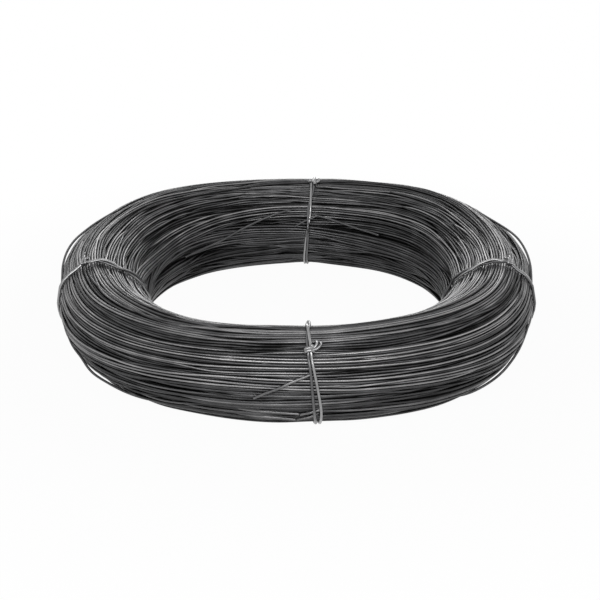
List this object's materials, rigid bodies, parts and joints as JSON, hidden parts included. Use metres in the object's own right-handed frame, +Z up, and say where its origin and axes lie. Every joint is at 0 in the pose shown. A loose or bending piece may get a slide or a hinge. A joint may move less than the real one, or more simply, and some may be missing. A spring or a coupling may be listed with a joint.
{
  "type": "coil of annealed steel wire",
  "caption": "Ring-shaped coil of dark annealed steel wire wound in near-parallel turns round an open bore, held by doubled wire ties with twisted ends.",
  "frame": {"origin": "on the floor, under the middle of the coil's bore", "axes": "+Z up along the coil's axis, the front tie faces -Y, +X is to its right"},
  "size_m": [0.6056, 0.6058, 0.1349],
  "materials": {
    "annealed_steel": "drawn steel wire with the dark oxide of annealing, satin",
    "tie_wire": "the same annealed wire, doubled and twisted by hand"
  },
  "bodies": {
    "root": {"coil": "annealed_steel", "front_tie": "tie_wire", "right_tie": "tie_wire", "back_tie": "tie_wire", "left_tie": "tie_wire"}
  },
  "joints": []
}
